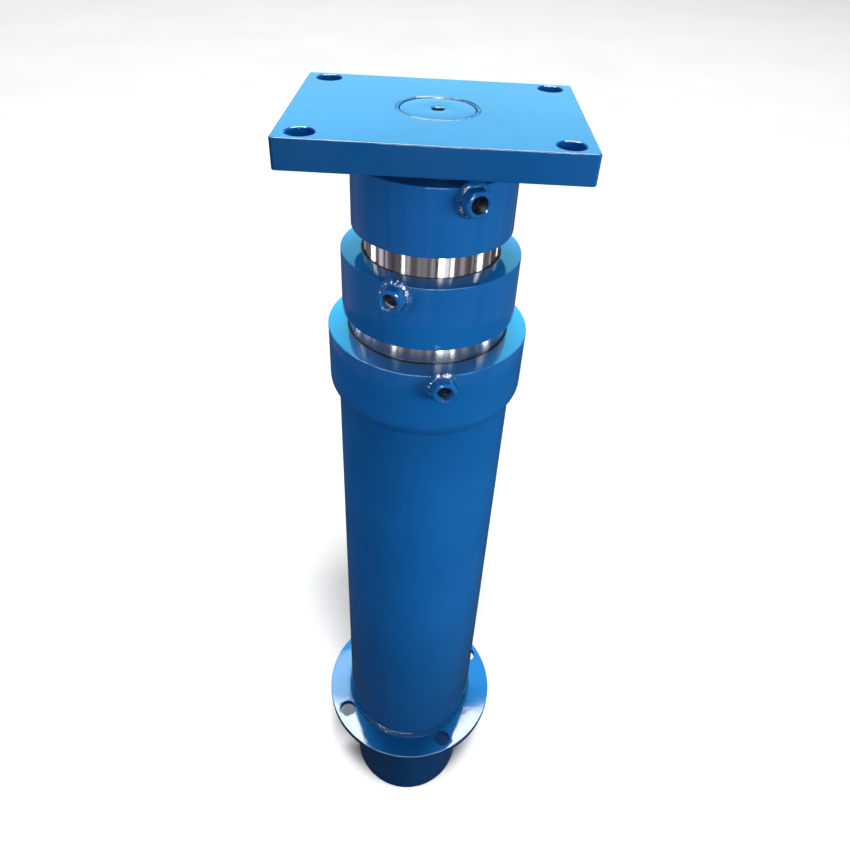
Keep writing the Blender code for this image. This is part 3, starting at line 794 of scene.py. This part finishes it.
def make_boss_bead(member, head_r, degrees, height, weld, seed):
    """Rippled fillet bead round the foot of a boss."""
    seat = head_r + FIT

    def outer(angle):
        return 0.5 * (hexagon_r(angle) + 0.5 * HEX_ACROSS_FLATS) + 3.9

    def swell(angle):
        return ripple(angle, 26, seed)

    section = ((0.0, 0.0), (0.0, 4.2), (0.25, 4.1), (0.50, 3.4), (0.75, 2.2), (0.92, 1.0), (1.0, 0.3),
               (1.0, 0.0))
    loops = []
    for share, tall in section:

        def radius(a, s=share):
            inner = hexagon_r(a) + 0.25
            return inner + s * (outer(a) + 1.4 * swell(a) - 0.4 - inner)

        def lift(a, t=tall, s=share):
            return t + (1.3 * swell(a) - 0.6 if 0.0 < s < 0.9 else 0.0)

        loops.append(boss_loop(seat, radius, lift, True, BOSS_BEAD_SIDES))
    points, faces = loops_to_mesh(loops, closed=True)
    finish_mesh(member + "_port_bead", points, faces, [weld], member, [member + "_port_weld"],
                70.0, port_place(degrees, height))


# ---- heads, tubes and wipers ---------------------------------------------------------------------

MEMBERS = (     # name, radius of the tube, its bore and its rod, port's direction, overspray in the port
    ("barrel", 93.0, 86.0, 80.0, -80.0, 10.0),
    ("stage_1", 80.0, 72.5, 65.0, -109.5, 6.5),
    ("stage_2", 65.0, 57.5, 50.0, -64.7, 1.4),
)
LIP_DEPTH = 2.5
LIP_GAP = 2.0
WIPER_DEPTH = 6.5
WIPER_SECTION = 5.5
GLAND_TOP = 18.0
GLAND_BOTTOM = 38.0
GLAND_SECTION = 5.5
ROD_GAP = 0.7
THREAD_END = 42.0
HEAD_TAPER = 14.0
TUBE_EASE = 1.2


def make_head(member, tube_r, rod_r, degrees, enamel, steel):
    """Collar head: rounded outer edges, lipped mouth, gland bore and a drilled oil passage."""
    low, high = box_mm(member + "_head")
    head_r, top, bottom = high.x, high.z, low.z
    outline = [(head_r, top, 1.3)]
    if member == "barrel":
        outline += [(head_r, bottom + HEAD_TAPER, 5.0), (tube_r + 0.5, bottom, 0.2)]
    else:
        outline += [(head_r, bottom, 1.2)]
    bore_r = rod_r + ROD_GAP
    gland_r = rod_r + GLAND_SECTION
    outline += [(tube_r + FIT, bottom), (tube_r + FIT, top - THREAD_END), (bore_r, top - THREAD_END),
                (bore_r, top - GLAND_BOTTOM), (gland_r, top - GLAND_BOTTOM), (gland_r, top - GLAND_TOP),
                (bore_r, top - GLAND_TOP),
                (bore_r, top - WIPER_DEPTH), (rod_r + WIPER_SECTION, top - WIPER_DEPTH),
                (rod_r + WIPER_SECTION, top - LIP_DEPTH), (rod_r + LIP_GAP, top - LIP_DEPTH),
                (rod_r + LIP_GAP, top, 0.7)]
    points, faces = lathe(rounded(outline, 4))
    head = finish_mesh(member + "_collar", points, faces, [enamel, steel], member, [member + "_head"])
    for face in head.data.polygons:
        spot = face.center / MM
        inside = sqrt(spot.x ** 2 + spot.y ** 2) < rod_r + WIPER_SECTION + 0.2
        if inside and bottom + 1.0 < spot.z < top - LIP_DEPTH - 0.05:
            face.material_index = 1
    turn = port_place(degrees, top - PORT_DEPTH) @ Matrix.Rotation(radians(90.0), 4, "Y")
    cut(head, [(PASSAGE_R, head_r + 4.0), (PASSAGE_R, 0.6 * head_r)], sides=SMALL // 2, turn=turn)
    bake(head)
    return head_r, top


def make_tube(member, inner_r, material, slot):
    """Plain tube with its four edges eased."""
    low, high = box_mm(member + "_tube")
    outline = [(high.x, high.z, TUBE_EASE), (high.x, low.z, TUBE_EASE), (inner_r, low.z, TUBE_EASE),
               (inner_r, high.z, TUBE_EASE)]
    points, faces = lathe(rounded(outline))
    finish_mesh(member + "_tube_fine", points, faces, [material], member, [member + "_tube"])


def make_wiper(member, rod_r, top, rubber):
    """Wiper ring: a body in its groove and a thin scraping lip that fills the mouth."""
    bottom = box_mm(member + "_wiper")[0].z
    lip_top = top - 0.7
    ledge = top - LIP_DEPTH - FIT
    outer_r = rod_r + WIPER_SECTION - FIT
    outline = [(rod_r + 1.5, lip_top, 0.25), (rod_r + 1.7, ledge, 0.1), (outer_r, ledge, 0.3),
               (outer_r, bottom, 0.4), (rod_r + 0.5, bottom, 0.3), (rod_r + 0.8, bottom + 2.5, 0.3),
               (rod_r + 0.35, lip_top, 0.25)]
    points, faces = lathe(rounded(outline))
    finish_mesh(member + "_wiper_lip", points, faces, [rubber], member, [member + "_wiper"],
                50.0)


# ---- flange and base -----------------------------------------------------------------------------

FLANGE_HOLE_CIRCLE_R = 109.5
FLANGE_HOLE_R = 11.5
FLANGE_HOLE_ANGLE = 29.6
FLANGE_HOLE_EDGE = 0.8
BARREL_R = 93.0
BEAD_SEAT = 0.1         # gap between a ring bead and the flange's face
FOOT_BORE_R = 68.0
FOOT_EDGE = 6.5
CAP_GROOVE = 5.0
BASE_PORT_R = 12.0
BASE_PORT_CUT = 1.1
BASE_PORT_PITCH = 1.814
BASE_PORT_ROWS = 90


def make_flange(enamel):
    """Round flange with eased edges and four drilled holes."""
    low, high = box_mm("mounting_flange")
    outline = [(high.x, high.z, 1.0), (high.x, low.z, 1.0), (BARREL_R + FIT, low.z), (BARREL_R + FIT, high.z)]
    points, faces = lathe(rounded(outline, 4))
    flange = finish_mesh("flange_painted", points, faces, [enamel], "barrel", ["mounting_flange"])
    hole = hole_outline(FLANGE_HOLE_R, high.z, low.z, FLANGE_HOLE_EDGE)
    for i in range(4):
        angle = radians(FLANGE_HOLE_ANGLE + 90.0 * i)
        cut(flange, hole, FLANGE_HOLE_CIRCLE_R * cos(angle), FLANGE_HOLE_CIRCLE_R * sin(angle))
    bake(flange)


def make_ring_bead(name, node, inner_r, width, height, base, count, seed, weld):
    """Rippled fillet bead round a tube; a negative height hangs below its plate."""
    section = ((1.0, 0.0), (0.97, 0.10), (0.78, 0.34), (0.52, 0.60), (0.26, 0.82), (0.10, 1.0), (0.0, 1.0),
               (0.0, 0.0))
    outline = [(inner_r + width * across, base + height * up) for across, up in section]

    def rippled(angle, r, z):
        share = (z - base) / height
        if r - inner_r < 0.12 or share <= 0.05:
            return r, z
        swell = ripple(angle + 0.012 * abs(z - base), count, seed)
        return r + 1.3 * swell - 0.9, z + 1.1 * (swell - 0.6) * (1.0 if height > 0 else -1.0)

    points, faces = lathe(outline, 640, rippled)
    finish_mesh(name, points, faces, [weld], "barrel", [node], 70.0)


def make_foot(enamel, thread, weld):
    """Foot tube with a rounded lower edge, its cap with a threaded feed port, and the weld between them."""
    foot_r, top = box_mm("foot_tube")[1].xz
    outline = rounded([(foot_r, top, 1.0), (foot_r, 0.0, FOOT_EDGE), (FOOT_BORE_R, 0.0, 0.4),
                       (FOOT_BORE_R, top, 1.5)], 6)
    points, faces = lathe(outline)
    finish_mesh("foot_sleeve", points, faces, [enamel], "barrel", ["foot_tube"])

    cap_r, top = box_mm("base_cap")[1].xz
    outline = rounded([(BASE_PORT_R, top, 0.6), (cap_r, top, 1.2), (cap_r, CAP_GROOVE),
                       (cap_r - CAP_GROOVE, 0.0, 0.3), (BASE_PORT_R + 1.9, 0.0, 0.6)])
    outline += [(BASE_PORT_R, 1.6 + (top - 2.6) * row / BASE_PORT_ROWS) for row in range(BASE_PORT_ROWS + 1)]

    def threaded(angle, r, z):
        if r != BASE_PORT_R or z > top - 1.0:
            return r, z
        phase = (z / BASE_PORT_PITCH - angle / (2.0 * pi)) % 1.0
        return r + BASE_PORT_CUT * abs(2.0 * phase - 1.0), z

    points, faces = lathe(outline, FINE, threaded)
    cap = finish_mesh("base_cap_threaded", points, faces, [enamel, thread], "barrel", ["base_cap"],
                      28.0)
    # The feed port's thread takes the near-black thread finish: oil and painted shade inside the port.
    for face in cap.data.polygons:
        spot = face.center / MM
        if sqrt(spot.x ** 2 + spot.y ** 2) < BASE_PORT_R + 1.5:
            face.material_index = 1

    def rippled(angle, r, z):
        return (r, z) if z > 1.5 else (r, z + 0.9 * ripple(angle, 64, 8.0) - 0.4)

    inner_r = cap_r - CAP_GROOVE + 1.2
    outline = [(cap_r, 4.0), (cap_r, 0.9), (cap_r - 1.6, 0.7), (inner_r + 0.6, 0.8), (cap_r - 0.4, 4.0)]
    points, faces = lathe(outline, 300, rippled)
    finish_mesh("base_cap_bead", points, faces, [weld], "barrel", ["base_cap_weld"], 70.0)


# ---- putting it together -------------------------------------------------------------------------

FLOOR_R = 20000.0
FLOOR_HEIGHT = -0.2
FLOOR_SIDES = 48


def add_floor(material):
    """Wide round floor that only the camera sees."""
    turns = [-2.0 * pi * i / FLOOR_SIDES for i in range(FLOOR_SIDES)]
    rim = [(FLOOR_R * cos(turn), FLOOR_R * sin(turn), FLOOR_HEIGHT) for turn in turns]
    points, faces = loops_to_mesh([[(0.0, 0.0, FLOOR_HEIGHT)], rim], closed=False)
    floor_piece = finish_mesh("floor", points, faces, [material])
    floor_piece.visible_diffuse = False
    floor_piece.visible_glossy = False
    return floor_piece


def dress_inner_nodes(looks):
    """CAD nodes that nothing replaces keep their meshes and take a material by their slot."""
    slots = {row["node"]: row["material_slot"] for row in frame["record"]["subparts"]}
    for name, node in frame["nodes"].items():
        if node.hide_render:
            continue
        material = looks[slots[name]]
        node.data.materials.clear()
        node.data.materials.append(material)


def light_groups(floor_piece, enamel, weld, chromes):
    """Collections of pieces that the lamps are linked to, by the names that LAMPS gives them."""
    piece = bpy.data.objects
    looks = {thing: set(thing.data.materials) for thing in piece if thing.type == "MESH"}
    low = [piece[name] for name in ("foot_sleeve", "base_cap_threaded", "base_cap_bead", "foot_bead",
                                    "flange_painted", "flange_bead")]
    plate = piece["top_plate_painted"]
    tube = piece["barrel_tube_fine"]
    edged = [thing for thing, used in looks.items() if enamel in used and "tube" not in thing.name]
    return {
        "product": linked("product", [floor_piece], "EXCLUDE"),
        "floor": linked("floor_only", [floor_piece]),
        "upper": linked("upper", low + [floor_piece, tube], "EXCLUDE"),
        "below_plate": linked("below_plate", low + [floor_piece, tube, plate], "EXCLUDE"),
        "tube": linked("tube", [tube]),
        "lower": linked("lower", low),
        "top": linked("top", [plate, piece["plunger_bar"], piece["plate_groove_bead"]]),
        "stage_1_collar": linked("stage_1_top", [piece["stage_1_collar"]]),
        "barrel_collar": linked("barrel_top", [piece["barrel_collar"]]),
        "polished": linked("polished", [thing for thing, used in looks.items() if used & chromes]),
        "lumpy": linked("lumpy", [thing for thing, used in looks.items() if weld in used]),
        "edged": linked("edged", edged),
        "high_edged": linked("high_edged", [thing for thing in edged if thing.name != "barrel_collar"]),
    }


def build():
    enamel = blue_enamel()
    weld = weld_enamel()
    chrome = ground_chrome("ground_chrome", 0.09, 0.14)
    worn_chrome = ground_chrome("worn_chrome", 0.15, 0.20)
    steel = turned_steel()
    thread = oiled_thread()
    rubber = seal_rubber()

    make_plate(enamel)
    make_plunger(chrome, enamel, thread)
    make_plate_welds(weld)
    tube_looks = {
        "barrel": (enamel, "blue_enamel"),
        "stage_1": (worn_chrome, "ground_chrome"),
        "stage_2": (chrome, "ground_chrome"),
    }
    for seed, (member, tube_r, bore_r, rod_r, degrees, overspray) in enumerate(MEMBERS):
        head_r, top = make_head(member, tube_r, rod_r, degrees, enamel, steel)
        make_tube(member, bore_r, *tube_looks[member])
        make_wiper(member, rod_r, top, rubber)
        make_boss(member, head_r, degrees, top - PORT_DEPTH, enamel, thread, overspray)
        make_boss_bead(member, head_r, degrees, top - PORT_DEPTH, weld, 11.0 + seed)
    make_flange(enamel)
    flange_low, flange_high = box_mm("mounting_flange")
    make_ring_bead("flange_bead", "flange_weld", BARREL_R + FIT, width=3.6, height=7.0,
                   base=flange_high.z + BEAD_SEAT, count=84, seed=5.0, weld=weld)
    foot_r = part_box("foot_tube")[1].x / MM
    make_ring_bead("foot_bead", "foot_weld", foot_r + FIT, width=6.3, height=-5.0,
                   base=flange_low.z - BEAD_SEAT, count=76, seed=6.0, weld=weld)
    make_foot(enamel, thread, weld)
    dress_inner_nodes({
        "blue_enamel": enamel, "ground_chrome": chrome, "machined_steel": steel,
        "bearing_bronze": bearing_bronze(), "seal_rubber": rubber, "guide_resin": guide_resin(),
    })
    floor_piece = add_floor(floor_paint())
    add_lights(light_groups(floor_piece, enamel, weld, {chrome, worn_chrome}))
    # Left out of mirror images: what would darken the chrome down at a mouth, and the flange's bright top.
    for name in ("stage_1_collar", "stage_1_port_boss", "stage_1_port_bead", "flange_painted"):
        bpy.data.objects[name].visible_glossy = False
    add_camera()


build()
